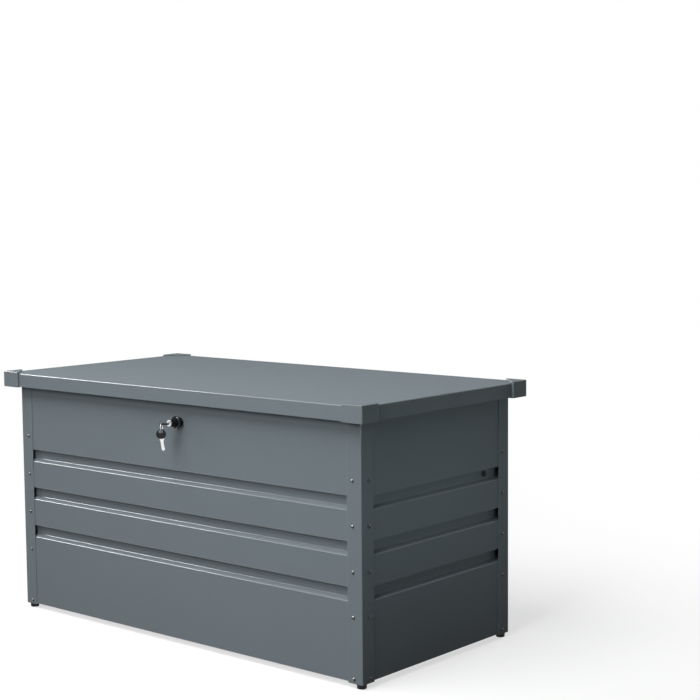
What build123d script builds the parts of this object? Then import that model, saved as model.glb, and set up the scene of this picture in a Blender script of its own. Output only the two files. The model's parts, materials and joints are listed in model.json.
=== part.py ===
from build123d import *

import math
import os

# Steel deck box with a hinged lid on gas struts and a key lock.
# Millimetres, drawn about the middle of the box: +X to the right, -Y to the front,
# +Z up from the floor.

# Body, over the corner posts
body_length = 1140.0
body_depth = 545.0
panel_height = 600.0
foot_height = 11.0
panel_lift = 2.0  # lower edge of the panels above the lower end of the posts

# Sheet metal
sheet = 0.8
bend = 2.0  # outside radius of a fold
post_wall = 1.2
post_leg = 40.0
panel_flange = 14.0
panel_end_gap = 16.0  # outer face of a post to the end of a panel
seat_gap = 0.3  # between pieces that rest on each other but come apart

# Pressed grooves in the panels, counted from the lowest
groove_count = 3
groove_pitch = 98.6
groove_drop = 196.9  # upper edge of a panel to the upper edge of its top groove
groove_depth = 12.0
groove_floor = 24.0
groove_slope = 6.3  # height of the sloping lower side

# Screws of the corner posts
screw_inset = 25.0  # outer corner of a post to the line of screws
screw_radius = 2.5
screw_head_radius = 4.6
screw_head_height = 2.6
screw_socket = 3.0  # across the flats of the hex socket
screw_socket_depth = 1.7
screw_hole_gap = 0.3
lowest_screw = 9.0  # above the lower end of the post
nut_flats = 8.0
nut_height = 4.0
screw_tail = 2.0  # screw end past its nut

# Feet
foot_block = 33.0
foot_block_height = 22.0
foot_inset = 14.0  # outer faces of the post to the middle of the glide
foot_radius = 11.6
foot_tip_radius = 10.4
foot_edge = 1.5
foot_clear = 2.0
foot_screw_depth = 12.0

# Floor
floor_gap = 1.6
bead_pitch = 150.0
bead_width = 40.0
bead_height = 6.0
bead_slope = 8.0

# Lid
lid_overhang_end = 25.0
lid_overhang_front = 27.5
lid_rim = 34.0
lid_bend = 2.5
lid_hem = 8.0
rib_offset = 230.0
rib_height = 14.0
rib_top_half = 26.0
rib_floor_half = 18.0
rib_flange = 14.0
rib_end_gap = 22.0  # leaves room for the rear flange as the lid turns

# Corner caps of the lid
cap_leg = 56.5
cap_wall = 5.0
cap_rise = 3.6
cap_drop = 1.4
cap_lip = 6.0
cap_corner = 3.0
cap_edge = 1.4

# Hinges
hinge_from_end = 170.0
hinge_stand = 7.0  # axis behind the rear face of the posts
hinge_drop = 6.0  # axis below the rim of the lid
hinge_width = 60.0
hinge_leaf = 2.0
hinge_leaf_height = 46.0
hinge_lid_leaf_height = 24.0
knuckle_radius = 5.0
knuckle_length = 15.0
knuckle_gap = 0.3
pin_radius = 2.5
pin_gap = 0.05
pin_head_radius = 4.0
pin_head = 1.5
leaf_screw_spacing = 40.0
leaf_screw_first = 18.0  # axis to the upper row of screws
leaf_screw_rows = 16.0
rivet_spacing = 18.0
rivet_radius = 2.0
rivet_head_radius = 3.6
rivet_head_height = 1.4

# Gas struts: the pivots on the body and on the lid lie at the same distance from
# the hinge axis, so the strut turns by half the angle of the lid.
lid_open_angle = 70.0
stud_from_rear = 84.5  # rear face of the posts to the pivot on the body
lid_pivot_rise = 6.0  # degrees that the lid pivot stands above the hinge
stud_reach = 16.0  # mounting face to the middle of the ball
ball_radius = 5.0
ball_gap = 0.05
stud_neck_radius = 3.0
stud_flange_radius = 6.5
stud_flange = 3.0
stud_thread_radius = 3.9
stud_hole_gap = 0.2
stud_nut_flats = 13.0
stud_nut_height = 5.0
stud_tail = 1.5
socket_radius = 8.0
socket_front = 3.5  # middle of the ball to the face that the stud enters
socket_back = 6.5
socket_neck_radius = 5.0
socket_length = 14.0  # middle of the ball to the end of the tube or rod
strut_tube_radius = 9.0
strut_tube_wall = 1.5
strut_tube_end = 3.0
strut_guide = 12.0
strut_guide_gap = 0.3
strut_rod_radius = 4.0
strut_piston = 8.0
strut_spare = 2.0  # travel left at both ends
strut_rod_shown = 5.0  # rod outside the tube with the lid closed
strut_edge = 1.5
bracket_thickness = 2.0
bracket_half_width = 18.0
bracket_flange = 30.0
bracket_below = 12.0

# Lock
lock_offset = 20.0  # middle of the box to the lock
lock_drop = 79.5  # upper edge of the panel to the lock
lock_shank_radius = 9.0
lock_shank = 24.0  # behind the outer face of the panel
lock_hole_gap = 0.15
lock_neck_radius = 9.8
lock_collar_radius = 14.4
lock_collar_start = 11.0
lock_collar = 5.5
lock_barrel_radius = 9.3
lock_barrel_end = 35.0
lock_edge = 1.2
lock_nut_flats = 26.0
lock_nut_height = 5.0
plug_radius = 6.9
plug_gap = 0.08
plug_head_radius = 7.7
plug_head = 1.4
plug_proud = 0.6
plug_stub = 7.0  # square that carries the cam
cam_thickness = 2.0
cam_length = 36.0
cam_width = 14.0
cam_screw_radius = 2.0
cam_screw_head_radius = 5.0
cam_screw_head = 2.4
cam_screw_depth = 8.0
keeper_thickness = 1.5
keeper_width = 22.0
keeper_offset = 21.0  # lock axis to the near side of the keeper
keeper_gap = 3.0  # between the cam and the keeper
keeper_lip = 10.0
keeper_flange = 26.0

# Keys and ring
key_bow_radius = 11.5
key_bow_thickness = 2.6
key_slot_centre = 5.9
key_slot_length = 9.4
key_slot_width = 6.3
key_slot_corner = 1.2
key_blade_width = 7.4
key_blade_thickness = 2.0
key_blade_length = 25.0
key_tip = 3.5
key_shoulder_width = 9.4
key_shoulder = 3.0
key_root = 6.0
keyway_gap = 0.3
key_notch_depth = 1.5
key_notches = 3
key_notch_pitch = 5.0
ring_radius = 8.5
ring_wire_radius = 0.8
ring_gap = 0.7
ring_turn = 32.0  # degrees of the ring's plane from the line of the key
ring_side = 0.8  # the ring hangs left of the slot's middle
spare_turn = 42.0  # degrees of the spare key's face from the front
spare_side = 2.4  # ring to the middle of the spare key's slot
spare_balance = 10.0  # middle of the bow to the spare key's centre of mass

# Places that follow from the sizes above
half_length = body_length / 2
half_depth = body_depth / 2
wall_x = half_length - post_wall
wall_y = half_depth - post_wall
post_bottom = foot_height
panel_bottom = post_bottom + panel_lift
panel_top = panel_bottom + panel_height
lid_under = panel_top + seat_gap
lid_top = lid_under + sheet
rim_bottom = lid_top - lid_rim
lid_length = body_length + 2 * lid_overhang_end
lid_depth = body_depth + 2 * lid_overhang_front
groove_height = groove_slope + groove_floor
groove_top = panel_top - groove_drop - groove_height
groove_levels = [groove_top - i * groove_pitch for i in reversed(range(groove_count))]
top_groove = groove_levels[-1] + groove_slope + groove_floor / 2
groove_flat = groove_pitch - groove_height
screw_levels = [post_bottom + lowest_screw]
screw_levels += [level - groove_flat / 2 for level in groove_levels]
screw_levels += [groove_levels[-1] + groove_height + groove_flat / 2]
nut_levels = screw_levels[1:]
foot_reach = post_wall + sheet + foot_block
hinge_x = half_length - hinge_from_end
hinge_y = half_depth + hinge_stand
hinge_z = rim_bottom - hinge_drop
stud_face = wall_x - groove_depth - sheet
strut_x = stud_face - stud_reach
stud_y = half_depth - stud_from_rear
lock_z = panel_top - lock_drop

# Strut triangle, seen from the end of the box
body_pivot = Vector(0, stud_y, top_groove)
hinge_point = Vector(0, hinge_y, hinge_z)
pivot_arm = (body_pivot - hinge_point).length
rise = math.radians(lid_pivot_rise)
lid_pivot = hinge_point + Vector(0, -math.cos(rise), math.sin(rise)) * pivot_arm
strut_direction = (lid_pivot - body_pivot).normalized()
strut_closed = (lid_pivot - body_pivot).length
closed_angle = 2 * math.asin(strut_closed / (2 * pivot_arm))
strut_open = 2 * pivot_arm * math.sin(closed_angle / 2 + math.radians(lid_open_angle) / 2)
tube_mouth = strut_closed - socket_length - strut_rod_shown
piston_open = tube_mouth - strut_guide - strut_spare - strut_piston
rod_length = strut_open - piston_open - socket_length

# Lock planes and the pieces behind the panel
lock_point = Vector(lock_offset, -wall_y, lock_z)
cam_front = -wall_y + lock_shank + plug_proud
cam_back = cam_front + cam_thickness
keeper_y = cam_back + keeper_gap
keeper_x = lock_offset + keeper_offset
keeper_lip_z = lock_z - cam_width / 2 - keeper_gap

# Keys: the plane of a key has its origin in the middle of the bow and its x axis
# towards the slot for the ring.
plug_face_y = -wall_y - lock_barrel_end - plug_proud
key_centre = Vector(lock_offset, plug_face_y - key_shoulder - key_bow_radius, lock_z)
key_plane = Plane(origin=key_centre, x_dir=(0, -1, 0), z_dir=(0, 0, 1))
turn = math.radians(ring_turn)
ring_line = Vector(math.sin(turn), -math.cos(turn), 0)
ring_rise = key_bow_thickness / 2 + ring_wire_radius + ring_gap
bow_chords = [
    math.sqrt(ring_radius**2 - (ring_radius - ring_rise + side * key_bow_thickness / 2) ** 2)
    for side in (-1, 1)
]
ring_reach = sum(bow_chords) / 2  # top of the ring to the side of it in the slot
ring_top = key_centre + Vector(-ring_side, -key_slot_centre, ring_rise) + ring_line * ring_reach
ring_centre = ring_top - Vector(0, 0, ring_radius)
ring_bottom = ring_centre - Vector(0, 0, ring_radius)
spare_face = math.radians(spare_turn)
spare_normal = Vector(math.sin(spare_face), -math.cos(spare_face), 0)
spare_across = Vector(math.cos(spare_face), math.sin(spare_face), 0)
spare_hang = key_slot_centre + key_slot_width / 2 - ring_wire_radius - ring_gap
spare_lean = math.atan2(spare_side, spare_hang + spare_balance)
spare_up = Vector(0, 0, math.cos(spare_lean)) - spare_across * math.sin(spare_lean)
spare_right = spare_normal.cross(spare_up) * -1
spare_centre = ring_bottom - spare_up * spare_hang - spare_right * spare_side
spare_plane = Plane(origin=spare_centre, x_dir=spare_up, z_dir=spare_normal)

ends = {"left": -1, "right": 1}
corners = {
    "front_left": (-1, -1),
    "front_right": (1, -1),
    "rear_left": (-1, 1),
    "rear_right": (1, 1),
}


def keep(builder, name):
    pieces[name] = builder.part


def facing(outward, point):
    """A plane at a point of an upright face, with its y axis up."""
    normal = Vector(*outward)
    return Plane(origin=point, x_dir=Vector(0, 0, 1).cross(normal), z_dir=normal)


def long_leg_line(end, side):
    """On a post's leg along the front or rear, under its line of screws."""
    return facing((0, side, 0), (end * (half_length - screw_inset), side * half_depth, 0))


def short_leg_line(end, side):
    """On a post's leg along an end of the box, under its line of screws."""
    return facing((end, 0, 0), (end * half_length, side * (half_depth - screw_inset), 0))


def at_heights(plane, heights):
    return [plane * Pos(0, height, 0) for height in heights]


def wall_outline():
    """Outside of a panel's section as depth and height, from the lower flange up."""
    points = [(panel_flange, panel_bottom), (0, panel_bottom)]
    for level in groove_levels:
        points += [(0, level), (groove_depth, level + groove_slope)]
        points += [(groove_depth, level + groove_height), (0, level + groove_height)]
    return points + [(0, panel_top), (panel_flange, panel_top)]


def wall_panel(face, length, screw_lines, holes, hole_radius, hole_depth):
    """A pressed panel behind an outward plane, with holes in that plane's x and y."""
    section_plane = Plane(origin=face.origin, x_dir=-face.z_dir, z_dir=face.x_dir)
    relief = foot_reach + foot_clear - panel_end_gap
    relief_middle = length / 2 - relief / 2
    relief_height = panel_lift + bend
    with BuildPart() as panel:
        with BuildSketch(section_plane.offset(-length / 2)):
            with BuildLine():
                FilletPolyline(wall_outline(), radius=bend)
                offset(amount=sheet, side=Side.RIGHT)
            make_face()
        extrude(amount=length)
        # the lower flange stops short of the blocks of the feet
        with BuildSketch(face.offset(-sheet)):
            with Locations((-relief_middle, panel_bottom), (relief_middle, panel_bottom)):
                Rectangle(relief, 2 * relief_height)
        extrude(amount=-panel_flange, mode=Mode.SUBTRACT)
        for line in screw_lines:
            with BuildSketch(line):
                with Locations(*[(0, level) for level in screw_levels]):
                    Circle(screw_radius + screw_hole_gap)
            extrude(amount=-(post_wall + 2 * sheet), mode=Mode.SUBTRACT)
        if holes:
            with BuildSketch(face):
                with Locations(*holes):
                    Circle(hole_radius)
            extrude(amount=-hole_depth, mode=Mode.SUBTRACT)
    return panel


def corner_post(end, side):
    corner = (end * half_length, side * half_depth)
    with BuildPart() as post:
        with BuildSketch(Plane.XY.offset(post_bottom)):
            with BuildLine():
                leg_end = (corner[0] - end * post_leg, corner[1])
                other_end = (corner[0], corner[1] - side * post_leg)
                FilletPolyline(leg_end, corner, other_end, radius=bend)
                offset(amount=post_wall, side=Side.LEFT if end * side < 0 else Side.RIGHT)
            make_face()
        extrude(amount=panel_top - post_bottom)
        for line in (long_leg_line(end, side), short_leg_line(end, side)):
            with BuildSketch(line):
                with Locations(*[(0, level) for level in screw_levels]):
                    Circle(screw_radius + screw_hole_gap)
            extrude(amount=-2 * post_wall, mode=Mode.SUBTRACT)
    return post


def foot(end, side):
    block_middle = foot_reach - foot_block / 2
    middle = (end * (half_length - block_middle), side * (half_depth - block_middle))
    glide = (end * (half_length - foot_inset), side * (half_depth - foot_inset))
    with BuildPart() as piece:
        with BuildSketch(Plane.XY.offset(post_bottom)):
            with Locations(middle):
                Rectangle(foot_block, foot_block)
        extrude(amount=foot_block_height)
        with BuildSketch(Plane.XY.offset(post_bottom)):
            with Locations(glide):
                Circle(foot_radius)
        with BuildSketch(Plane.XY):
            with Locations(glide):
                Circle(foot_tip_radius)
        loft()
        fillet(piece.edges().group_by(Axis.Z)[0], foot_edge)
        for line in (long_leg_line(end, side), short_leg_line(end, side)):
            with BuildSketch(line):
                with Locations((0, screw_levels[0])):
                    Circle(screw_radius + pin_gap)
            extrude(amount=-(post_wall + sheet + foot_screw_depth), mode=Mode.SUBTRACT)
    return piece


def dome_screw(shank, radius, head_radius, head_height, socket=0.0):
    """A dome head on the plane z = 0, with its shank below and a hex socket if it has one."""
    dome = (head_radius**2 + head_height**2) / (2 * head_height)
    half_span = math.asin(head_radius / dome) / 2
    crown = (dome * math.sin(half_span), head_height - dome + dome * math.cos(half_span))
    with BuildPart() as screw:
        with BuildSketch(Plane.XZ):
            with BuildLine():
                Line((0, head_height), (0, -shank))
                Line((0, -shank), (radius, -shank))
                Line((radius, -shank), (radius, 0))
                Line((radius, 0), (head_radius, 0))
                ThreePointArc((head_radius, 0), crown, (0, head_height))
            make_face()
        revolve(axis=Axis.Z)
        if socket:
            with BuildSketch(Plane.XY.offset(head_height)):
                RegularPolygon(socket / 2, 6, major_radius=False)
            extrude(amount=-screw_socket_depth, mode=Mode.SUBTRACT)
    return screw


def hex_nut(flats, height, hole_radius):
    """A nut with its seat on the plane z = 0, standing up from it."""
    with BuildPart() as nut:
        with BuildSketch(Plane.XY):
            RegularPolygon(flats / 2, 6, major_radius=False)
            Circle(hole_radius, mode=Mode.SUBTRACT)
        extrude(amount=height)
    return nut


def group_of(form, places):
    """Separate copies of one fastener at several places."""
    with BuildPart() as group:
        with Locations(*places):
            add(form.part)
    return group


def corner_cap(end, side):
    corner = Vector(end * (lid_length / 2 + cap_wall), side * (lid_depth / 2 + cap_wall))

    def inward(along, across):
        return (corner.X - end * along, corner.Y - side * across)

    def angle(width):
        points = [inward(0, 0), inward(cap_leg, 0), inward(cap_leg, width), inward(width, width)]
        return points + [inward(width, cap_leg), inward(0, cap_leg)]

    with BuildPart() as cap:
        with BuildSketch(Plane.XY.offset(rim_bottom - cap_drop)):
            with BuildLine():
                Polyline(*angle(cap_wall + cap_lip), close=True)
            make_face()
        extrude(amount=cap_drop)
        with BuildSketch(Plane.XY.offset(rim_bottom)):
            with BuildLine():
                Polyline(*angle(cap_wall), close=True)
            make_face()
        extrude(amount=lid_rim)
        with BuildSketch(Plane.XY.offset(lid_top)):
            with BuildLine():
                outer = [inward(0, 0), inward(cap_leg, 0), inward(cap_leg, cap_wall)]
                Polyline(*outer, inward(cap_wall, cap_leg), inward(0, cap_leg), close=True)
            make_face()
        extrude(amount=cap_rise)
        upright = cap.edges().filter_by(Axis.Z)
        outer_edges = [
            upright.sort_by_distance(Vertex(*inward(*place), lid_top))[0]
            for place in ((0, 0), (cap_leg, 0), (0, cap_leg))
        ]
        fillet(outer_edges[0], cap_corner)
        fillet(outer_edges[1:], cap_edge)
        fillet(cap.faces().sort_by(Axis.Z)[-1].edges(), cap_edge)
    return cap


def hat_rib(middle):
    half_run = wall_y - panel_flange - rib_end_gap
    low = lid_under - rib_height
    with BuildPart() as rib:
        with BuildSketch(Plane.XZ.offset(-half_run)):
            with BuildLine():
                left = [(middle - rib_top_half - rib_flange, lid_under)]
                left += [(middle - rib_top_half, lid_under), (middle - rib_floor_half, low)]
                right = [(2 * middle - x, z) for x, z in reversed(left)]
                FilletPolyline(*left, *right, radius=bend)
                offset(amount=sheet, side=Side.RIGHT)
            make_face()
        extrude(amount=2 * half_run)
    return rib


def knuckle_bore(start, length):
    """The bore for a hinge pin, as a solid to cut away."""
    with BuildPart(mode=Mode.PRIVATE) as bore:
        with BuildSketch(Plane.YZ.offset(start)):
            with Locations((hinge_y, hinge_z)):
                Circle(pin_radius + pin_gap)
        extrude(amount=length)
    return bore


def hinge_body_leaf(middle):
    start = middle - hinge_width / 2
    web = [(wall_y, hinge_z - 2 * knuckle_radius), (hinge_y, hinge_z - knuckle_radius)]
    web += [(hinge_y, hinge_z), (wall_y, hinge_z)]
    bore = knuckle_bore(start, hinge_width)
    with BuildPart() as leaf:
        with BuildSketch(Plane.YZ.offset(start)):
            with Locations((wall_y, hinge_z - hinge_leaf_height)):
                Rectangle(hinge_leaf, hinge_leaf_height, align=(Align.MIN, Align.MIN))
        extrude(amount=hinge_width)
        for knuckle in (start, start + hinge_width - knuckle_length):
            with BuildSketch(Plane.YZ.offset(knuckle)):
                with BuildLine():
                    Polyline(*web, close=True)
                make_face()
                with Locations((hinge_y, hinge_z)):
                    Circle(knuckle_radius)
            extrude(amount=knuckle_length)
        add(bore.part, mode=Mode.SUBTRACT)
        with BuildSketch(facing((0, 1, 0), (middle, wall_y + hinge_leaf, 0))):
            with Locations(*leaf_screw_places):
                Circle(screw_radius + screw_hole_gap)
        extrude(amount=-2 * hinge_leaf, mode=Mode.SUBTRACT)
    return leaf


def hinge_lid_leaf(middle):
    length = hinge_width - 2 * knuckle_length - 2 * knuckle_gap
    start = middle - length / 2
    low = hinge_z + knuckle_radius - hinge_leaf
    bore = knuckle_bore(start, length)
    with BuildPart() as leaf:
        with BuildSketch(Plane.YZ.offset(start)):
            with Locations((hinge_y, hinge_z)):
                Circle(knuckle_radius)
            with Locations((hinge_y, low)):
                Rectangle(lid_leaf_y - hinge_y, hinge_leaf, align=(Align.MIN, Align.MIN))
            with Locations((lid_leaf_y, low)):
                Rectangle(hinge_leaf, hinge_lid_leaf_height, align=(Align.MAX, Align.MIN))
        extrude(amount=length)
        add(bore.part, mode=Mode.SUBTRACT)
        with BuildSketch(facing((0, 1, 0), (middle, lid_leaf_y, rivet_z))):
            with Locations((-rivet_spacing / 2, 0), (rivet_spacing / 2, 0)):
                Circle(rivet_radius + pin_gap)
        extrude(amount=-2 * hinge_leaf, mode=Mode.SUBTRACT)
    return leaf


def hinge_pin(middle):
    start = middle - hinge_width / 2
    with BuildPart() as pin:
        for low, radius, length in (
            (start - pin_head, pin_head_radius, pin_head),
            (start, pin_radius, hinge_width),
            (start + hinge_width, pin_head_radius, pin_head),
        ):
            with BuildSketch(Plane.YZ.offset(low)):
                with Locations((hinge_y, hinge_z)):
                    Circle(radius)
            extrude(amount=length)
    return pin


def ball_stud(thread):
    """A ball stud with its seat on the plane z = 0 and its ball above."""
    with BuildPart() as stud:
        for plane, radius, length in (
            (Plane.XY, stud_flange_radius, stud_flange),
            (Plane.XY, stud_neck_radius, stud_reach),
            (Plane.XY, stud_thread_radius, -thread),
        ):
            with BuildSketch(plane):
                Circle(radius)
            extrude(amount=length)
        with Locations((0, 0, stud_reach)):
            Sphere(ball_radius)
    return stud


def ball_socket(ball, stud_side, run):
    """The end of a strut, over a ball whose stud comes from one side."""
    with BuildPart() as socket:
        with BuildSketch(Plane(origin=ball, z_dir=run)):
            Circle(socket_neck_radius)
        extrude(amount=socket_length)
        with BuildSketch(Plane(origin=ball + stud_side * socket_front, z_dir=stud_side)):
            Circle(socket_radius)
        extrude(amount=-(socket_front + socket_back))
        with Locations(ball):
            Sphere(ball_radius + ball_gap, rotation=(0, 90, 0), mode=Mode.SUBTRACT)
        mouth = math.sqrt((ball_radius + ball_gap) ** 2 - socket_front**2)
        with BuildSketch(Plane(origin=ball, z_dir=stud_side)):
            Circle(mouth)
        extrude(amount=2 * socket_front, mode=Mode.SUBTRACT)
    return socket


def strut_plane(end, start, run):
    """For a section of a strut: x along the strut and y across it."""
    return Plane(origin=start + Vector(end * strut_x, 0, 0), x_dir=run, z_dir=(1, 0, 0))


def strut_tube(end):
    plane = strut_plane(end, body_pivot, strut_direction)
    bore = strut_tube_radius - strut_tube_wall
    mouth = strut_rod_radius + strut_guide_gap
    with BuildPart() as tube:
        with BuildSketch(plane):
            with BuildLine():
                base = socket_length + strut_tube_end
                guide = tube_mouth - strut_guide
                Polyline(
                    (socket_length, 0),
                    (socket_length, strut_tube_radius - strut_edge),
                    (socket_length + strut_edge, strut_tube_radius),
                    (tube_mouth - strut_edge, strut_tube_radius),
                    (tube_mouth, strut_tube_radius - strut_edge),
                    (tube_mouth, mouth),
                    (guide, mouth),
                    (guide, bore),
                    (base, bore),
                    (base, 0),
                    close=True,
                )
            make_face()
        revolve(axis=Axis(plane.origin, strut_direction))
    return tube


def strut_rod(end):
    run = strut_direction * -1
    plane = strut_plane(end, lid_pivot, run)
    piston = strut_tube_radius - strut_tube_wall - strut_guide_gap
    tip = socket_length + rod_length
    with BuildPart() as rod:
        with BuildSketch(plane):
            with BuildLine():
                Polyline(
                    (socket_length, 0),
                    (socket_length, strut_rod_radius),
                    (tip - strut_piston, strut_rod_radius),
                    (tip - strut_piston, piston),
                    (tip, piston),
                    (tip, 0),
                    close=True,
                )
            make_face()
        revolve(axis=Axis(plane.origin, run))
    return rod


def lid_bracket(end):
    """An angle under the lid that carries the upper ball stud."""
    plate = end * (strut_x - stud_reach)
    with BuildPart() as bracket:
        with BuildSketch(Plane.XZ.offset(-lid_pivot.Y - bracket_half_width)):
            with BuildLine():
                inner = (plate - end * bracket_flange, lid_under)
                FilletPolyline(
                    inner,
                    (plate, lid_under),
                    (plate, lid_pivot.Z - bracket_below),
                    radius=bracket_thickness + bend,
                )
                offset(amount=bracket_thickness, side=Side.RIGHT if end > 0 else Side.LEFT)
            make_face()
        extrude(amount=2 * bracket_half_width)
        with BuildSketch(facing((end, 0, 0), (plate, lid_pivot.Y, lid_pivot.Z))):
            Circle(stud_thread_radius + stud_hole_gap)
        extrude(amount=-2 * bracket_thickness, mode=Mode.SUBTRACT)
    return bracket


def key_bow(plane):
    slot = plane * Pos(key_slot_centre, 0, 0)
    with BuildPart() as bow:
        with BuildSketch(plane.offset(-key_bow_thickness / 2)):
            Circle(key_bow_radius)
        extrude(amount=key_bow_thickness)
        fillet(bow.edges(), key_bow_thickness / 4)
        with BuildSketch(Plane(slot).offset(-key_bow_thickness)):
            RectangleRounded(key_slot_width, key_slot_length, key_slot_corner)
        extrude(amount=2 * key_bow_thickness, mode=Mode.SUBTRACT)
        with BuildSketch(plane.offset(-key_blade_thickness / 2)):
            with Locations((-key_bow_radius, 0)):
                Rectangle(2 * key_root, key_shoulder_width)
        extrude(amount=key_blade_thickness, mode=Mode.SUBTRACT)
    return bow


def key_blade(plane):
    root = -key_bow_radius + key_root
    shoulder = -key_bow_radius - key_shoulder
    tip = shoulder - key_blade_length
    with BuildPart() as blade:
        with BuildSketch(plane.offset(-key_blade_thickness / 2)):
            with BuildLine():
                half = [(root, key_shoulder_width / 2), (shoulder, key_shoulder_width / 2)]
                half += [(shoulder, key_blade_width / 2), (tip + key_tip, key_blade_width / 2)]
                other = [(x, -y) for x, y in reversed(half)]
                Polyline(*half, (tip, 0), *other, close=True)
            make_face()
            # cuts of the key
            for i in range(key_notches):
                cut = shoulder - (i + 1) * key_notch_pitch
                with BuildLine():
                    Polyline(
                        (cut - 2 * key_notch_depth, -key_blade_width / 2),
                        (cut, key_notch_depth - key_blade_width / 2),
                        (cut + 2 * key_notch_depth, -key_blade_width / 2),
                        close=True,
                    )
                make_face(mode=Mode.SUBTRACT)
        extrude(amount=key_blade_thickness)
    return blade


pieces = {}

# Wall panels
front_face = facing((0, -1, 0), (0, -wall_y, 0))
rear_face = facing((0, 1, 0), (0, wall_y, 0))
long_panel = 2 * (half_length - panel_end_gap)
short_panel = 2 * (half_depth - panel_end_gap)
leaf_screw_places = [
    (side * leaf_screw_spacing / 2, hinge_z - leaf_screw_first - row * leaf_screw_rows)
    for side in (-1, 1)
    for row in (0, 1)
]
rear_holes = [(end * hinge_x + x, z) for end in (-1, 1) for x, z in leaf_screw_places]
front_panel = wall_panel(
    front_face,
    long_panel,
    [long_leg_line(end, -1) for end in (-1, 1)],
    [(lock_offset, lock_z)],
    lock_shank_radius + lock_hole_gap,
    2 * sheet,
)
keep(front_panel, "front_panel")
rear_panel = wall_panel(
    rear_face,
    long_panel,
    [long_leg_line(end, 1) for end in (-1, 1)],
    rear_holes,
    screw_radius + screw_hole_gap,
    2 * sheet,
)
keep(rear_panel, "rear_panel")
for word, end in ends.items():
    side_panel = wall_panel(
        facing((end, 0, 0), (end * wall_x, 0, 0)),
        short_panel,
        [short_leg_line(end, side) for side in (-1, 1)],
        [(end * stud_y, top_groove)],
        stud_thread_radius + stud_hole_gap,
        groove_depth + 2 * sheet,
    )
    keep(side_panel, f"{word}_side_panel")

# Corner posts and feet
for word, (end, side) in corners.items():
    keep(corner_post(end, side), f"{word}_post")
    keep(foot(end, side), f"{word}_foot")

# Screws and nuts of the posts: the lowest screw of each leg holds the foot
screw_lines = [line(*place) for place in corners.values() for line in (long_leg_line, short_leg_line)]
post_stack = post_wall + sheet
post_screw = dome_screw(
    post_stack + nut_height + screw_tail, screw_radius, screw_head_radius, screw_head_height, screw_socket
)
screw_places = [place for line in screw_lines for place in at_heights(line, screw_levels)]
keep(group_of(post_screw, screw_places), "post_screws")
nut = hex_nut(nut_flats, nut_height, screw_radius + pin_gap)
nut_planes = [line.offset(-post_stack) for line in screw_lines]
nut_places = [
    place * Rot(180, 0, 0) for plane in nut_planes for place in at_heights(plane, nut_levels)
]
keep(group_of(nut, nut_places), "post_nuts")

# Floor with pressed beads from front to rear
floor_x = wall_x - sheet - floor_gap
floor_y = wall_y - sheet - floor_gap
floor_z = panel_bottom + sheet
bead_count = int((floor_x - foot_reach) // bead_pitch)
notch = foot_reach + foot_clear - (half_length - floor_x)
with BuildPart() as floor_panel:
    with BuildSketch(Plane.XZ.offset(-floor_y)):
        with BuildLine():
            floor_line = [(-floor_x, floor_z)]
            for i in range(-bead_count, bead_count + 1):
                bead = i * bead_pitch
                floor_line += [
                    (bead - bead_width / 2 - bead_slope, floor_z),
                    (bead - bead_width / 2, floor_z + bead_height),
                    (bead + bead_width / 2, floor_z + bead_height),
                    (bead + bead_width / 2 + bead_slope, floor_z),
                ]
            floor_line += [(floor_x, floor_z)]
            FilletPolyline(*floor_line, radius=bend)
            offset(amount=sheet, side=Side.LEFT)
        make_face()
    extrude(amount=2 * floor_y)
    with BuildSketch(Plane.XY.offset(floor_z)):
        with GridLocations(2 * floor_x - notch, 2 * floor_y - notch, 2, 2):
            Rectangle(notch, notch)
    extrude(amount=2 * bead_height, both=True, mode=Mode.SUBTRACT)
keep(floor_panel, "floor_panel")

# Lid tray with a folded rim and a closed hem
lid_leaf_y = lid_depth / 2 - 2 * sheet
rivet_z = rim_bottom + lid_hem / 2
with BuildPart() as lid_hollow:
    with BuildSketch(Plane.XY.offset(rim_bottom)):
        Rectangle(lid_length - 2 * sheet, lid_depth - 2 * sheet)
    extrude(amount=lid_rim - sheet)
    fillet(lid_hollow.faces().sort_by(Axis.Z)[-1].edges(), lid_bend - sheet)
with BuildPart() as lid_panel:
    with BuildSketch(Plane.XY.offset(rim_bottom)):
        Rectangle(lid_length, lid_depth)
    extrude(amount=lid_rim)
    fillet(lid_panel.faces().sort_by(Axis.Z)[-1].edges(), lid_bend)
    add(lid_hollow.part, mode=Mode.SUBTRACT)
    with BuildSketch(Plane.XY.offset(rim_bottom)):
        Rectangle(lid_length - 2 * sheet, lid_depth - 2 * sheet)
        Rectangle(lid_length - 4 * sheet, lid_depth - 4 * sheet, mode=Mode.SUBTRACT)
    extrude(amount=lid_hem)
    with BuildSketch(facing((0, 1, 0), (0, lid_depth / 2, rivet_z))):
        with Locations((-hinge_x, 0), (hinge_x, 0)):
            with Locations((-rivet_spacing / 2, 0), (rivet_spacing / 2, 0)):
                Circle(rivet_radius + pin_gap)
    extrude(amount=-3 * sheet, mode=Mode.SUBTRACT)
keep(lid_panel, "lid_panel")
for word, (end, side) in corners.items():
    keep(corner_cap(end, side), f"{word}_lid_cap")
for word, end in ends.items():
    keep(hat_rib(end * rib_offset), f"{word}_lid_rib")

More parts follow.
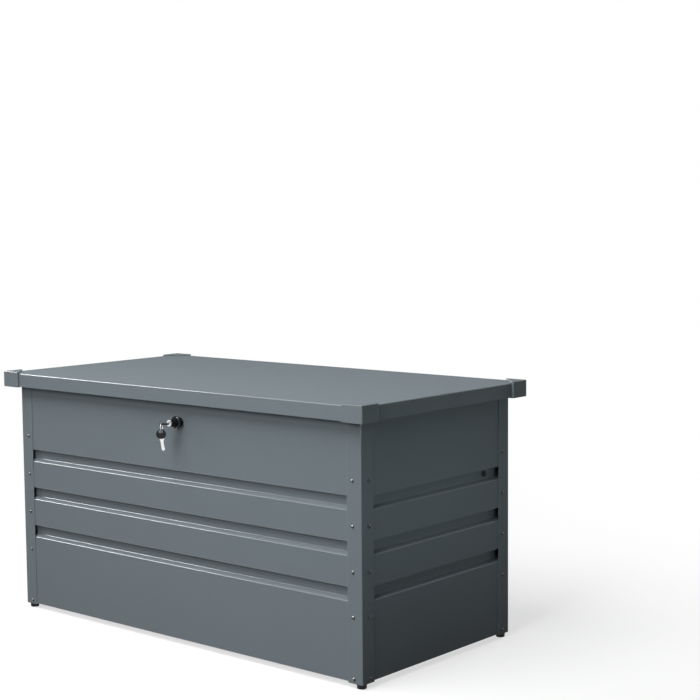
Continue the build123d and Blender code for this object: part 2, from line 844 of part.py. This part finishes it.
# Hinges
for word, end in ends.items():
    keep(hinge_body_leaf(end * hinge_x), f"{word}_hinge_body_leaf")
    keep(hinge_lid_leaf(end * hinge_x), f"{word}_hinge_lid_leaf")
    keep(hinge_pin(end * hinge_x), f"{word}_hinge_pin")
leaf_stack = hinge_leaf + sheet
leaf_screw = dome_screw(
    leaf_stack + nut_height + screw_tail, screw_radius, screw_head_radius, screw_head_height, screw_socket
)
leaf_places = [
    rear_face.offset(hinge_leaf) * Pos(end * hinge_x + x, z, 0)
    for end in (-1, 1)
    for x, z in leaf_screw_places
]
keep(group_of(leaf_screw, leaf_places), "hinge_screws")
leaf_nut_places = [
    rear_face.offset(-sheet) * Pos(x, z, 0) * Rot(180, 0, 0) for x, z in rear_holes
]
keep(group_of(nut, leaf_nut_places), "hinge_nuts")
rivet = dome_screw(2 * sheet + hinge_leaf, rivet_radius, rivet_head_radius, rivet_head_height)
rim_rear = facing((0, 1, 0), (0, lid_depth / 2, rivet_z))
rivet_places = [
    rim_rear * Pos(end * hinge_x + side * rivet_spacing / 2, 0, 0)
    for end in (-1, 1)
    for side in (-1, 1)
]
keep(group_of(rivet, rivet_places), "lid_rivets")

# Gas struts
body_thread = sheet + stud_nut_height + stud_tail
lid_thread = bracket_thickness + stud_nut_height + stud_tail
stud_nut = hex_nut(stud_nut_flats, stud_nut_height, stud_thread_radius + pin_gap)
body_seats = {
    end: facing((-end, 0, 0), (end * stud_face, stud_y, top_groove)) for end in ends.values()
}
lid_seats = {
    end: facing((end, 0, 0), (end * (strut_x - stud_reach), lid_pivot.Y, lid_pivot.Z))
    for end in ends.values()
}
body_stud_places = [Location(seat) for seat in body_seats.values()]
lid_stud_places = [Location(seat) for seat in lid_seats.values()]
keep(group_of(ball_stud(body_thread), body_stud_places), "lower_ball_studs")
keep(group_of(ball_stud(lid_thread), lid_stud_places), "upper_ball_studs")
lower_nut_places = [place * Pos(0, 0, -sheet) * Rot(180, 0, 0) for place in body_stud_places]
upper_nut_places = [
    place * Pos(0, 0, -bracket_thickness) * Rot(180, 0, 0) for place in lid_stud_places
]
keep(group_of(stud_nut, lower_nut_places), "lower_stud_nuts")
keep(group_of(stud_nut, upper_nut_places), "upper_stud_nuts")
for word, end in ends.items():
    across = Vector(end * strut_x, 0, 0)
    outward = Vector(end, 0, 0)
    keep(strut_tube(end), f"{word}_strut_tube")
    keep(ball_socket(body_pivot + across, outward, strut_direction), f"{word}_tube_socket")
    keep(strut_rod(end), f"{word}_strut_rod")
    keep(ball_socket(lid_pivot + across, -outward, -strut_direction), f"{word}_rod_socket")
    keep(lid_bracket(end), f"{word}_strut_bracket")

# Lock: sections are drawn with x away from the lock's axis and y out of the panel
lock_axis = Axis(lock_point, (0, -1, 0))
lock_section = Plane(origin=lock_point, x_dir=(1, 0, 0), z_dir=(0, 0, -1))
with BuildPart() as lock_body:
    with BuildSketch(lock_section):
        with BuildLine():
            collar_end = lock_collar_start + lock_collar
            plug_bore = plug_radius + plug_gap
            head_bore = plug_head_radius + plug_gap
            head_seat = lock_barrel_end + plug_proud - plug_head
            Polyline(
                (lock_neck_radius, 0),
                (lock_shank_radius, 0),
                (lock_shank_radius, -lock_shank),
                (plug_bore, -lock_shank),
                (plug_bore, head_seat),
                (head_bore, head_seat),
                (head_bore, lock_barrel_end),
                (lock_barrel_radius - lock_edge, lock_barrel_end),
                (lock_barrel_radius, lock_barrel_end - lock_edge),
                (lock_barrel_radius, collar_end),
                (lock_collar_radius - lock_edge, collar_end),
                (lock_collar_radius, collar_end - lock_edge),
                (lock_collar_radius, lock_collar_start),
            )
            flare_x = (lock_neck_radius + lock_collar_radius) / 2 - lock_edge
            flare_middle = (flare_x, lock_collar_start / 2 + lock_edge)
            neck = (lock_neck_radius, 0)
            ThreePointArc((lock_collar_radius, lock_collar_start), flare_middle, neck)
        make_face()
    revolve(axis=lock_axis)
keep(lock_body, "lock_body")

lock_nut = group_of(
    hex_nut(lock_nut_flats, lock_nut_height, lock_shank_radius + pin_gap),
    [Location(front_face.offset(-sheet)) * Pos(lock_offset, lock_z, 0) * Rot(180, 0, 0)],
)
keep(lock_nut, "lock_nut")

with BuildPart() as lock_plug:
    with BuildSketch(lock_section):
        with BuildLine():
            plug_end = -lock_shank - plug_proud
            plug_face = lock_barrel_end + plug_proud
            seat = plug_face - plug_head + plug_gap
            Polyline(
                (0, plug_end),
                (plug_radius, plug_end),
                (plug_radius, seat),
                (plug_head_radius, seat),
                (plug_head_radius, plug_face),
                (0, plug_face),
                close=True,
            )
        make_face()
    revolve(axis=lock_axis)
    # keyway, lying flat as the key does
    with BuildSketch(Plane(origin=(lock_offset, plug_face_y, lock_z), x_dir=(1, 0, 0), z_dir=(0, -1, 0))):
        Rectangle(key_blade_width + 2 * keyway_gap, key_blade_thickness + 2 * keyway_gap)
    extrude(amount=-(key_blade_length + 2 * keyway_gap), mode=Mode.SUBTRACT)
    with BuildSketch(facing((0, 1, 0), (lock_offset, cam_front, lock_z))):
        Rectangle(plug_stub, plug_stub)
    extrude(amount=cam_thickness - plug_gap)
    with BuildSketch(facing((0, 1, 0), (lock_offset, cam_back, lock_z))):
        Circle(cam_screw_radius + pin_gap)
    extrude(amount=-cam_screw_depth - pin_gap, mode=Mode.SUBTRACT)
keep(lock_plug, "lock_plug")

with BuildPart() as lock_cam:
    with BuildSketch(facing((0, 1, 0), (lock_offset, cam_front, lock_z))):
        with Locations((0, (cam_length - cam_width / 2) / 2)):
            SlotOverall(cam_length + cam_width / 2, cam_width, rotation=90)
        Rectangle(plug_stub + 2 * pin_gap, plug_stub + 2 * pin_gap, mode=Mode.SUBTRACT)
    extrude(amount=cam_thickness)
keep(lock_cam, "lock_cam")

cam_screw = group_of(
    dome_screw(cam_screw_depth, cam_screw_radius, cam_screw_head_radius, cam_screw_head),
    [Location(facing((0, 1, 0), (lock_offset, cam_back, lock_z)))],
)
keep(cam_screw, "cam_screw")

with BuildPart() as lock_keeper:
    with BuildSketch(Plane.YZ.offset(keeper_x)):
        with BuildLine():
            FilletPolyline(
                (keeper_y + keeper_flange, lid_under),
                (keeper_y, lid_under),
                (keeper_y, keeper_lip_z - keeper_thickness),
                (keeper_y - keeper_lip, keeper_lip_z - keeper_thickness),
                radius=keeper_thickness / 2,
            )
            offset(amount=keeper_thickness, side=Side.LEFT)
        make_face()
    extrude(amount=keeper_width)
keep(lock_keeper, "lock_keeper")

# Keys on a split ring
keep(key_blade(key_plane), "key_blade")
keep(key_bow(key_plane), "key_bow")
keep(key_blade(spare_plane), "spare_key_blade")
keep(key_bow(spare_plane), "spare_key_bow")
with BuildPart() as key_ring:
    with BuildSketch(Plane(origin=ring_top, x_dir=(0, 0, 1), z_dir=ring_line)):
        Circle(ring_wire_radius)
    revolve(axis=Axis(ring_centre, ring_line.cross(Vector(0, 0, 1))))
keep(key_ring, "key_ring")

# The origin lies on the floor under the middle of the whole, with the keys in the lock
whole = Compound(list(pieces.values())).bounding_box()
shift = Vector(-whole.center().X, -whole.center().Y, 0)
os.makedirs("parts", exist_ok=True)
for name, piece in pieces.items():
    placed = piece.moved(Location(shift))
    placed.label = name
    export_step(placed, f"parts/{name}.step")

# Places that the joints and mounts need
joint_points = {
    "hinge": (0, hinge_y, hinge_z),
    "lower_pivot": body_pivot,
    "upper_pivot": lid_pivot,
    "lock": lock_point,
    "ring_top": ring_top,
    "ring_bottom": ring_bottom,
}
for name, point in joint_points.items():
    print(name, [round(v, 3) for v in Vector(*point) + shift])
print("ring line", [round(v, 5) for v in ring_line])
print("strut closed and open", round(strut_closed, 2), round(strut_open, 2))
print("shift", [round(v, 4) for v in shift])
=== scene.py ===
import json
import math

import bmesh
import bpy
from mathutils import Matrix, Vector


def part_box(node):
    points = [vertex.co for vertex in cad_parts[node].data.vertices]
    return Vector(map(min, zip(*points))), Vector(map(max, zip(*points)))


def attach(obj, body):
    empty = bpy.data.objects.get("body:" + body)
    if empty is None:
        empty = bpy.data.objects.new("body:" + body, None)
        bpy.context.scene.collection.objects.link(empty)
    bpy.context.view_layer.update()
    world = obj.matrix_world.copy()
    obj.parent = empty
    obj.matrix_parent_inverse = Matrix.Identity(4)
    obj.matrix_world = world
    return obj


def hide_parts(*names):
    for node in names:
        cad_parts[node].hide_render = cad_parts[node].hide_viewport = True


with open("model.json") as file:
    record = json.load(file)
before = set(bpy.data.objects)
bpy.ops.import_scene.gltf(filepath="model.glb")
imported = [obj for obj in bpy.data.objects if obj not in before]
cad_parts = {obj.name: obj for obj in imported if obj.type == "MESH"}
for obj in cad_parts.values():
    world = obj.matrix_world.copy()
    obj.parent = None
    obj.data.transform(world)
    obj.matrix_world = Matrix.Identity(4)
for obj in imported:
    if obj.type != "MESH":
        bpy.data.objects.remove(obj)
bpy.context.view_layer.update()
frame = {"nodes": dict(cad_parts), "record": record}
cad = frame["nodes"]
scene = bpy.context.scene
print("frame loaded:", len(cad), "nodes")


# Node helpers: what feeds a socket is another socket, or a value to set on it
def feed(tree, socket, value):
    if isinstance(value, bpy.types.NodeSocket):
        tree.links.new(value, socket)
    else:
        socket.default_value = value


def addNode(tree, kind, **values):
    made = tree.nodes.new(kind)
    for name, value in values.items():
        label = name.replace("_", " ")
        if label in made.inputs:
            feed(tree, made.inputs[label], value)
        else:
            setattr(made, name, value)
    return made


def mathNode(tree, operation, first, second, clamp=False):
    made = addNode(tree, "ShaderNodeMath", operation=operation, use_clamp=clamp)
    feed(tree, made.inputs[0], first)
    feed(tree, made.inputs[1], second)
    return made.outputs[0]


def rangeNode(tree, value, start, end, low=0.0, high=1.0):
    made = addNode(
        tree, "ShaderNodeMapRange", Value=value, From_Min=start, From_Max=end, To_Min=low, To_Max=high
    )
    return made.outputs[0]


def mixColour(tree, mask, first, second):
    made = addNode(tree, "ShaderNodeMix", data_type="RGBA")
    feed(tree, made.inputs["Factor"], mask)
    for name, value in (("A", first), ("B", second)):
        feed(tree, [s for s in made.inputs if s.name == name and s.type == "RGBA"][0], value)
    return [s for s in made.outputs if s.type == "RGBA"][0]


noiseSpan = (0.3, 0.7)  # most of a noise lies between these


def noiseNode(tree, place, scale, detail, rough):
    made = addNode(
        tree, "ShaderNodeTexNoise", Vector=place, Scale=scale, Detail=detail, Roughness=rough
    )
    return made.outputs[0]


def newGroup(name, inputs, outputs):
    tree = bpy.data.node_groups.new(name, "ShaderNodeTree")
    for label, value in inputs:
        socket = tree.interface.new_socket(name=label, in_out="INPUT", socket_type="NodeSocketFloat")
        socket.default_value = value
    for label, kind in outputs:
        tree.interface.new_socket(name=label, in_out="OUTPUT", socket_type="NodeSocket" + kind)
    return tree, tree.nodes.new("NodeGroupInput"), tree.nodes.new("NodeGroupOutput")


def sendOut(tree, out, **results):
    for label, value in results.items():
        tree.links.new(value, out.inputs[label])


def useGroup(tree, group, **values):
    made = tree.nodes.new("ShaderNodeGroup")
    made.node_tree = group
    for name, value in values.items():
        made.inputs[name.replace("_", " ")].default_value = value
    return made


# Fine orange peel of a powder coat or the spark-eroded grain of a moulding
grainLook = dict(
    grainScale=900.0, cloudScale=6.0, grain=(2.0, 0.55), cloud=(4.0, 0.6), peel=0.6, speck=(0.62, 0.72)
)


def surfaceGrain(look):
    tree, given, out = newGroup(
        "surfaceGrain",
        [("Grain Scale", look["grainScale"]), ("Cloud Scale", look["cloudScale"])],
        [("Height", "Float"), ("Cloud", "Float"), ("Speck", "Float")],
    )
    place = addNode(tree, "ShaderNodeTexCoord").outputs["Object"]
    fine, wide = given.outputs["Grain Scale"], given.outputs["Cloud Scale"]
    grain = noiseNode(tree, place, fine, *look["grain"])
    cloud = noiseNode(tree, place, wide, *look["cloud"])
    cells = addNode(tree, "ShaderNodeTexVoronoi", feature="F1", Vector=place, Scale=fine)
    peel = mathNode(tree, "MULTIPLY", cells.outputs["Distance"], look["peel"])
    height = mathNode(tree, "ADD", grain, peel)
    sendOut(tree, out, Height=height, Cloud=cloud, Speck=rangeNode(tree, grain, *look["speck"]))
    return tree


# Rounded edges for the light to catch, and the mask of those edges broken up by handling; coats lighten
# along this mask, partly as wear and partly as a painted highlight on the edges
edgeLook = dict(
    width=0.0012, breakupScale=60.0, samples=6, turn=(0.995, 0.86), rubAndHighlight=(3.0, 0.6), broken=(0.35, 0.6),
    leastRub=0.25,
)


def edgeWearAndHighlight(look):
    tree, given, out = newGroup(
        "edgeWearAndHighlight",
        [("Width", look["width"]), ("Breakup Scale", look["breakupScale"])],
        [("Mask", "Float"), ("Normal", "Vector")],
    )
    soft = addNode(tree, "ShaderNodeBevel", samples=look["samples"], Radius=given.outputs["Width"])
    same = addNode(tree, "ShaderNodeVectorMath", operation="DOT_PRODUCT")
    feed(tree, same.inputs[0], soft.outputs[0])
    feed(tree, same.inputs[1], addNode(tree, "ShaderNodeNewGeometry").outputs["True Normal"])
    edge = rangeNode(tree, same.outputs["Value"], *look["turn"])
    place = addNode(tree, "ShaderNodeTexCoord").outputs["Object"]
    rubAndHighlight = noiseNode(tree, place, given.outputs["Breakup Scale"], *look["rubAndHighlight"])
    broken = rangeNode(tree, rubAndHighlight, *look["broken"], look["leastRub"])
    mask = mathNode(tree, "MULTIPLY", edge, broken, clamp=True)
    sendOut(tree, out, Mask=mask, Normal=soft.outputs[0])
    return tree


# The bends between the flats, where the coat is smoothest and catches the light: not the
# sloping sides of the grooves, and less on the right end
foldLook = dict(turnStart=0.03, turnEnd=0.08, slope=(0.8, 0.87), rightEnd=(0.15, 0.4), rightShare=0.1)


def foldShine(look):
    tree, given, out = newGroup(
        "foldShine", [("From", look["turnStart"]), ("To", look["turnEnd"])], [("Mask", "Float")]
    )
    normal = addNode(tree, "ShaderNodeTexCoord").outputs["Normal"]
    signed = addNode(tree, "ShaderNodeSeparateXYZ", Vector=normal)
    facing = addNode(tree, "ShaderNodeVectorMath", operation="ABSOLUTE", Vector=normal)
    parts = addNode(tree, "ShaderNodeSeparateXYZ", Vector=facing.outputs[0])
    most = mathNode(tree, "MAXIMUM", parts.outputs["X"], parts.outputs["Y"])
    turned = mathNode(tree, "SUBTRACT", 1.0, mathNode(tree, "MAXIMUM", most, parts.outputs["Z"]))
    bends = rangeNode(tree, turned, given.outputs["From"], given.outputs["To"])
    upright = rangeNode(tree, parts.outputs["Z"], *look["slope"], 1.0, 0.0)
    shaded = rangeNode(tree, signed.outputs["X"], *look["rightEnd"], 1.0, look["rightShare"])
    uprightBends = mathNode(tree, "MULTIPLY", bends, upright)
    sendOut(tree, out, Mask=mathNode(tree, "MULTIPLY", uprightBends, shaded))
    return tree


# A thin film of dust on what faces up
dustLook = dict(patchScale=18.0, patch=(5.0, 0.65), lying=(0.75, 1.0), patches=(0.4, 0.75))


def dustFilm(look):
    tree, given, out = newGroup(
        "dustFilm", [("Patch Scale", look["patchScale"])], [("Mask", "Float"), ("Lying", "Float")]
    )
    coords = addNode(tree, "ShaderNodeTexCoord")
    up = addNode(tree, "ShaderNodeSeparateXYZ", Vector=coords.outputs["Normal"])
    patch = noiseNode(tree, coords.outputs["Object"], given.outputs["Patch Scale"], *look["patch"])
    lying = rangeNode(tree, up.outputs["Z"], *look["lying"])
    patches = rangeNode(tree, patch, *look["patches"])
    sendOut(tree, out, Mask=mathNode(tree, "MULTIPLY", lying, patches), Lying=lying)
    return tree


grainGroup = surfaceGrain(grainLook)
wearAndHighlightGroup = edgeWearAndHighlight(edgeLook)
foldGroup = foldShine(foldLook)
dustGroup = dustFilm(dustLook)
print("surface effects made")


def newMaterial(name, **values):
    made = bpy.data.materials.new(name)
    made.use_nodes = True
    tree = made.node_tree
    shader = tree.nodes["Principled BSDF"]
    for label, value in values.items():
        shader.inputs[label.replace("_", " ")].default_value = value
    return made, tree, shader


def linkBump(tree, shader, height, normal, look):
    bump = addNode(
        tree, "ShaderNodeBump", Strength=look["bump"], Distance=look["depth"], Height=height, Normal=normal
    )
    tree.links.new(bump.outputs[0], shader.inputs["Normal"])


# One recipe for what is coated or moulded in one colour
def coatMaterial(name, look):
    made, tree, shader = newMaterial(
        name, Metallic=0.0, Specular_IOR_Level=look["gloss"], Coat_IOR=look["foldIor"],
        Coat_Roughness=look["foldRough"],
    )
    grain = useGroup(tree, grainGroup, Grain_Scale=look["grainScale"], Cloud_Scale=look["cloudScale"])
    wear = useGroup(tree, wearAndHighlightGroup, Width=look["edgeWidth"])
    dust = useGroup(tree, dustGroup)
    fold = useGroup(tree, foldGroup)
    clouded = mixColour(tree, grain.outputs["Cloud"], look["colour"], look["shade"])
    fleck = mathNode(tree, "MULTIPLY", grain.outputs["Speck"], look["fleckAmount"])
    flecked = mixColour(tree, fleck, clouded, look["fleck"])
    # Lighter edges: partly wear, partly a painted highlight along the edges and seams
    rubAndHighlight = mathNode(tree, "MULTIPLY", wear.outputs["Mask"], look["wearAndHighlightAmount"])
    wornAndHighlit = mixColour(tree, rubAndHighlight, flecked, look["wornAndHighlit"])
    film = mathNode(tree, "MULTIPLY", dust.outputs["Mask"], look["dustAmount"])
    tree.links.new(mixColour(tree, film, wornAndHighlit, look["dust"]), shader.inputs["Base Color"])
    rough = rangeNode(tree, grain.outputs["Cloud"], *noiseSpan, *look["rough"])
    dull = mathNode(tree, "MULTIPLY", dust.outputs["Lying"], look["dustRough"])
    tree.links.new(mathNode(tree, "ADD", rough, dull, clamp=True), shader.inputs["Roughness"])
    shine = mathNode(tree, "MULTIPLY", fold.outputs["Mask"], look["foldShine"])
    tree.links.new(shine, shader.inputs["Coat Weight"])
    linkBump(tree, shader, grain.outputs["Height"], wear.outputs["Normal"], look)
    return made


# The light edge colour stands for both worn paint and a painted highlight on the edges
powderCoat = dict(
    colour=(0.122, 0.145, 0.158, 1), shade=(0.132, 0.156, 0.169, 1), fleck=(0.175, 0.2, 0.21, 1),
    wornAndHighlit=(0.3, 0.33, 0.345, 1), dust=(0.26, 0.27, 0.265, 1), fleckAmount=0.25, wearAndHighlightAmount=0.8,
    dustAmount=0.06, dustRough=0.5, gloss=0.07, foldShine=1.0, foldIor=2.6, foldRough=0.12,
    rough=(0.3, 0.36), grainScale=900.0, cloudScale=5.0, edgeWidth=0.0010, bump=0.12, depth=0.0002,
)
greyPlastic = dict(
    powderCoat, colour=(0.121, 0.143, 0.153, 1), shade=(0.130, 0.153, 0.164, 1),
    rough=(0.42, 0.5), grainScale=1400.0, bump=0.2, edgeWidth=0.0018,
)
blackPlastic = dict(
    powderCoat, colour=(0.008, 0.008, 0.009, 1), shade=(0.012, 0.012, 0.013, 1),
    fleck=(0.02, 0.02, 0.02, 1), wornAndHighlit=(0.03, 0.03, 0.03, 1), rough=(0.3, 0.4),
    grainScale=1600.0, bump=0.2, edgeWidth=0.0005, gloss=0.2, dustAmount=0.03, foldShine=0.0,
)
blackPaint = dict(
    powderCoat, colour=(0.007, 0.009, 0.010, 1), shade=(0.010, 0.012, 0.013, 1),
    fleck=(0.012, 0.013, 0.014, 1), wornAndHighlit=(0.03, 0.03, 0.03, 1), rough=(0.12, 0.18),
    grainScale=1500.0, bump=0.02, edgeWidth=0.0003, gloss=0.1, dustAmount=0.02,
)


# One recipe for bare metal: brushed, plated or spangled
def metalMaterial(name, look):
    made, tree, shader = newMaterial(name, Metallic=1.0)
    place = addNode(tree, "ShaderNodeTexCoord").outputs["Object"]
    brushed = addNode(tree, "ShaderNodeMapping", Vector=place, Scale=look["brush"])
    lines = noiseNode(tree, brushed.outputs[0], look["brushScale"], *look["lines"])
    cells = addNode(
        tree, "ShaderNodeTexVoronoi", feature="F1", Vector=place, Scale=look["spangleScale"]
    )
    grain = useGroup(tree, grainGroup, Grain_Scale=look["grainScale"])
    wear = useGroup(tree, wearAndHighlightGroup, Width=look["edgeWidth"])
    toned = mixColour(tree, lines, look["colour"], look["shade"])
    flake = mathNode(tree, "MULTIPLY", cells.outputs["Color"], look["spangle"])
    tree.links.new(mixColour(tree, flake, toned, look["bright"]), shader.inputs["Base Color"])
    rough = rangeNode(tree, lines, *noiseSpan, *look["rough"])
    tree.links.new(rough, shader.inputs["Roughness"])
    fine = mathNode(tree, "MULTIPLY", grain.outputs["Height"], look["grainShare"])
    linkBump(tree, shader, mathNode(tree, "ADD", lines, fine), wear.outputs["Normal"], look)
    return made


zincPlate = dict(
    colour=(0.42, 0.43, 0.44, 1), shade=(0.5, 0.51, 0.52, 1), bright=(0.62, 0.63, 0.64, 1),
    brush=(1, 1, 1), brushScale=90.0, lines=(4.0, 0.6), spangleScale=45.0, spangle=0.35,
    rough=(0.34, 0.46), grainScale=1200.0, grainShare=0.3, edgeWidth=0.0004, bump=0.06, depth=0.0002,
)
chromePlate = dict(
    zincPlate, colour=(0.66, 0.66, 0.67, 1), shade=(0.72, 0.72, 0.73, 1), spangle=0.0,
    brushScale=400.0, rough=(0.09, 0.16), edgeWidth=0.0003, bump=0.02,
)
nickelPlate = dict(
    zincPlate, colour=(0.72, 0.72, 0.71, 1), shade=(0.8, 0.8, 0.79, 1), spangle=0.0,
    brush=(1, 1, 8), brushScale=500.0, rough=(0.22, 0.34), edgeWidth=0.0003, bump=0.08,
)

finishes = {
    "coated_steel": coatMaterial("powderCoat", powderCoat),
    "cap_plastic": coatMaterial("greyPlastic", greyPlastic),
    "black_plastic": coatMaterial("blackPlastic", blackPlastic),
    "black_steel": coatMaterial("blackPaint", blackPaint),
    "zinc_steel": metalMaterial("zincPlate", zincPlate),
    "chrome": metalMaterial("chromePlate", chromePlate),
    "key_steel": metalMaterial("nickelPlate", nickelPlate),
}
for entry in frame["record"]["subparts"]:
    node = cad[entry["node"]]
    node.data.materials.clear()
    node.data.materials.append(finishes[entry["material_slot"]])
print("finishes set:", len(finishes))


def placeMesh(name, work, material):
    mesh = bpy.data.meshes.new(name)
    work.to_mesh(mesh)
    work.free()
    mesh.materials.append(material)
    made = bpy.data.objects.new(name, mesh)
    scene.collection.objects.link(made)
    return made


# Split ring: two turns of flat wire, coiled about the ring's own axis, from a start at its side
ringLook = dict(
    turns=2, steps=144, wire=0.0016, radial=0.00124, axial=0.0004, pitch=0.00044, edge=0.0001,
    edgeSteps=2, sharp=1.0,
)


def makeSplitRing(look):
    low, high = (Vector(corner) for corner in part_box("key_ring"))
    joints = {joint["name"]: joint for joint in frame["record"]["behaviour"]["joints"]}
    up = Vector((0, 0, 1))
    across = Vector(joints["ring_swing"]["axis"]).cross(up).normalized()
    along = across.cross(up)
    centre = (low + high) / 2
    reach = (high.z - low.z - look["wire"]) / 2
    start = centre + along * reach - across * look["pitch"] * look["turns"] / 2
    sides = Matrix((along * look["radial"], across * look["axial"], up)).transposed().to_4x4()
    work = bmesh.new()
    bmesh.ops.create_grid(
        work, x_segments=1, y_segments=1, size=0.5, matrix=Matrix.Translation(start) @ sides
    )
    bmesh.ops.spin(
        work, geom=work.verts[:] + work.edges[:] + work.faces[:], cent=centre, axis=across,
        dvec=across * look["pitch"] * look["turns"] / look["steps"],
        angle=2 * math.pi * look["turns"], steps=look["steps"], use_merge=False, use_duplicate=False,
    )
    bmesh.ops.recalc_face_normals(work, faces=work.faces[:])
    sharp = [
        edge for edge in work.edges if edge.is_manifold and edge.calc_face_angle() > look["sharp"]
    ]
    bmesh.ops.bevel(
        work, geom=sharp, offset=look["edge"], segments=look["edgeSteps"], profile=0.5, affect="EDGES",
        material=-1,
    )
    for face in work.faces:
        face.smooth = True
    ring = placeMesh("splitRing", work, finishes["key_steel"])
    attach(ring, "key_ring")
    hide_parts("key_ring")


makeSplitRing(ringLook)
print("split ring made")


# Rays that see the backdrop: those of the camera, of gloss and of glass
def backdropSeen(tree):
    path = addNode(tree, "ShaderNodeLightPath")
    seen = mathNode(tree, "MAXIMUM", path.outputs["Is Camera Ray"], path.outputs["Is Glossy Ray"])
    return mathNode(tree, "MAXIMUM", seen, path.outputs["Is Transmission Ray"])


# Floor that fades to the white of the backdrop
floorLook = dict(
    half=9.0, colour=(0.86, 0.86, 0.86, 1), bounce=(0.1, 0.1, 0.1, 1), rough=0.9, fadeStart=0.9,
    fadeEnd=2.6, lift=0.6,
)


def makeFloor(look):
    made, tree, shader = newMaterial("paleFloor", Roughness=look["rough"], Specular_IOR_Level=0.0)
    away = addNode(
        tree, "ShaderNodeVectorMath", operation="LENGTH",
        Vector=addNode(tree, "ShaderNodeTexCoord").outputs["Object"],
    )
    fade = rangeNode(tree, away.outputs["Value"], look["fadeStart"], look["fadeEnd"], look["lift"])
    seen = backdropSeen(tree)
    tree.links.new(mixColour(tree, seen, look["bounce"], look["colour"]), shader.inputs["Base Color"])
    white = addNode(tree, "ShaderNodeEmission", Strength=1.0)
    mixed = addNode(tree, "ShaderNodeMixShader")
    tree.links.new(mathNode(tree, "MULTIPLY", fade, seen), mixed.inputs[0])
    tree.links.new(shader.outputs[0], mixed.inputs[1])
    tree.links.new(white.outputs[0], mixed.inputs[2])
    tree.links.new(mixed.outputs[0], tree.nodes["Material Output"].inputs["Surface"])
    work = bmesh.new()
    bmesh.ops.create_grid(work, x_segments=1, y_segments=1, size=look["half"])
    floor = placeMesh("floor", work, made)


makeFloor(floorLook)
print("floor laid")


# Soft studio light: a soft box high in front, a strip on the left that draws the lines of the
# grooves, a narrow cool beam on the right, and lamps in front, behind and on the left
openLamp = dict(spread=180.0, tint=(1, 1, 1))
lamps = {
    "softBox": dict(
        openLamp, place=(0.05, -1.6, 3.1), aim=(0.15, -0.27, 0.35), size=(2.1, 2.4), power=118.0
    ),
    "stripBox": dict(
        openLamp, place=(-3.9, -1.75, 2.7), aim=(0.0, -0.25, 0.3), size=(2.8, 0.7), power=80.0
    ),
    "frontLamp": dict(
        openLamp, place=(0.8, -2.9, 1.5), aim=(0.5, -0.27, 0.35), size=(1.2, 1.0), power=50.0
    ),
    "sideLamp": dict(
        place=(2.4, -0.2, 0.35), aim=(0.57, -0.15, 0.42), size=(1.0, 0.2), power=0.3,
        spread=26.0, tint=(0.82, 1.0, 1.0),
    ),
    "backLamp": dict(
        openLamp, place=(0.5, 3.2, 1.2), aim=(0.2, 0.27, 0.35), size=(1.6, 1.2), power=52.0
    ),
    "leftLamp": dict(
        openLamp, place=(-3.2, 0.4, 1.1), aim=(-0.6, 0.0, 0.35), size=(1.2, 1.2), power=24.0
    ),
}


def makeLamp(name, look):
    data = bpy.data.lights.new(name, "AREA")
    data.shape = "RECTANGLE"
    data.size, data.size_y = look["size"]
    data.energy = look["power"]
    data.spread = math.radians(look["spread"])
    data.color = look["tint"]
    lamp = bpy.data.objects.new(name, data)
    scene.collection.objects.link(lamp)
    lamp.visible_camera = False
    lamp.location = look["place"]
    toAim = Vector(look["aim"]) - Vector(look["place"])
    lamp.rotation_euler = toAim.to_track_quat("-Z", "Y").to_euler()


for name, look in lamps.items():
    makeLamp(name, look)

# Dim surround for the light, white backdrop for the eye
surround = dict(dim=(0.02, 0.024, 0.025, 1), white=(1, 1, 1, 1))


def makeSurround(look):
    world = bpy.data.worlds.new("studio")
    scene.world = world
    world.use_nodes = True
    tree = world.node_tree
    shown = mixColour(tree, backdropSeen(tree), look["dim"], look["white"])
    tree.links.new(shown, tree.nodes["Background"].inputs["Color"])


makeSurround(surround)
print("light set:", len(lamps), "lamps")

# Camera where the photograph was taken from
shot = dict(
    place=(2.6201, -2.6954, 1.0157), azimuth=40.396, elevation=5.127, roll=-0.507, lens=78.863,
    sensor=36.0,
)


def makeCamera(look):
    azimuth, elevation, roll = (math.radians(look[k]) for k in ("azimuth", "elevation", "roll"))
    level = math.cos(elevation)
    back = Vector((math.sin(azimuth) * level, -math.cos(azimuth) * level, math.sin(elevation)))
    right = Vector((0, 0, 1)).cross(back).normalized()
    up = back.cross(right)
    rolledRight = right * math.cos(roll) + up * math.sin(roll)
    rolledUp = up * math.cos(roll) - right * math.sin(roll)
    turn = Matrix((rolledRight, rolledUp, back)).transposed()
    data = bpy.data.cameras.new("camera")
    data.lens = look["lens"]
    data.sensor_width = look["sensor"]
    camera = bpy.data.objects.new("camera", data)
    scene.collection.objects.link(camera)
    camera.matrix_world = Matrix.Translation(look["place"]) @ turn.to_4x4()
    scene.camera = camera


makeCamera(shot)
scene.view_settings.view_transform = "Standard"
print("camera set")
